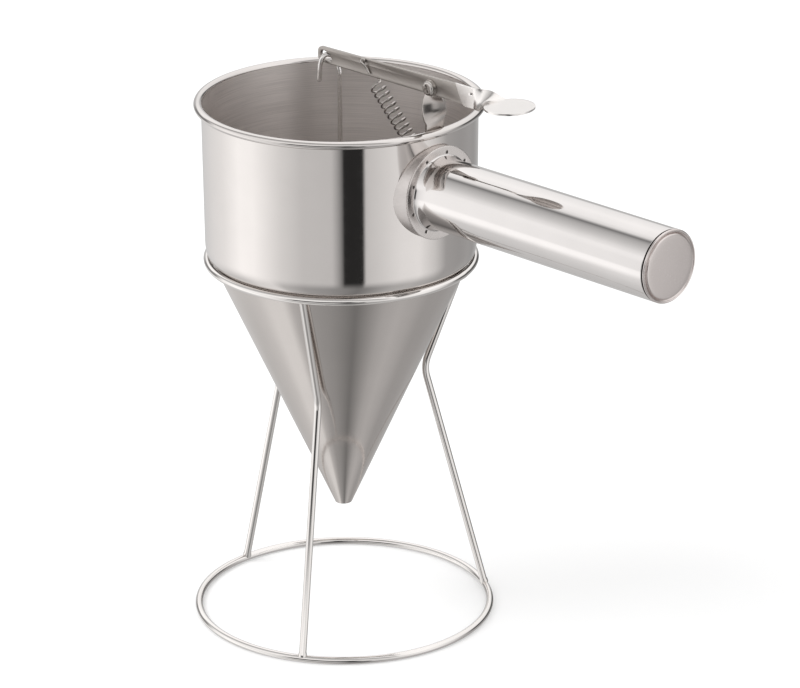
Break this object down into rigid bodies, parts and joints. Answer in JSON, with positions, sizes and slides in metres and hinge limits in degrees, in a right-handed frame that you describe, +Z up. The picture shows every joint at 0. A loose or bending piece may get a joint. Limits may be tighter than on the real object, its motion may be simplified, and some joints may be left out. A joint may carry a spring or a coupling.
{
  "type": "confectionery funnel with stand",
  "caption": "Stainless steel confectionery funnel with a lever valve, a tube handle and a wire stand.",
  "frame": {"origin": "on the funnel's axis at the floor, the middle of the stand's base ring", "axes": "+Z up along the funnel's axis, +X along the handle, the lever's plane just on the -Y side of the X axis"},
  "size_m": [0.3175, 0.164, 0.3201],
  "materials": {
    "polished_wire": "bright polished stainless steel wire",
    "polished_sheet": "polished stainless steel sheet, brushed round the inside of the bowl",
    "satin_sheet": "satin polished stainless steel sheet",
    "polished_tube": "mirror polished stainless steel tube",
    "brushed_strip": "stainless steel strip brushed along its length",
    "fastener_steel": "turned stainless steel",
    "spring_steel": "drawn stainless spring wire"
  },
  "bodies": {
    "stand": {"stand_base_ring": "polished_wire", "stand_top_ring": "polished_wire", "stand_leg_left": "polished_wire", "stand_leg_rear": "polished_wire", "stand_leg_right": "polished_wire"},
    "funnel": {"funnel_bowl": "polished_sheet", "funnel_cone": "satin_sheet", "handle_saddle": "polished_sheet", "handle_tube": "polished_tube", "handle_end_cap": "satin_sheet", "pivot_bracket": "polished_sheet", "pivot_screw": "fastener_steel", "head_washer": "fastener_steel", "spacer_washer": "fastener_steel", "pivot_nut": "fastener_steel", "return_spring": "spring_steel"},
    "lever": {"lever_arm": "brushed_strip", "thumb_plate": "polished_sheet"},
    "stopper": {"stopper_rod": "polished_wire", "stopper_plug": "fastener_steel"}
  },
  "joints": [
    {"name": "funnel_lift", "type": "slide", "parent": "stand", "child": "funnel", "axis": [0, 0, 1], "range_m": [0, 0.16]},
    {"name": "lever_pivot", "type": "hinge", "parent": "funnel", "child": "lever", "pos_m": [0.0714, -0.0024, 0.3129], "axis": [0, 1, 0], "range_deg": [0, 12], "stiffness_Nm_per_rad": 1.5, "springref_deg": -20.05, "deforming": ["return_spring"]},
    {"name": "stopper_lift", "type": "slide", "parent": "funnel", "child": "stopper", "axis": [0, 0, 1], "range_m": [0, 0.01626]}
  ],
  "couplings": [
    {"joint": "stopper_lift", "follows": "lever_pivot", "m_per_rad": 0.0776}
  ]
}
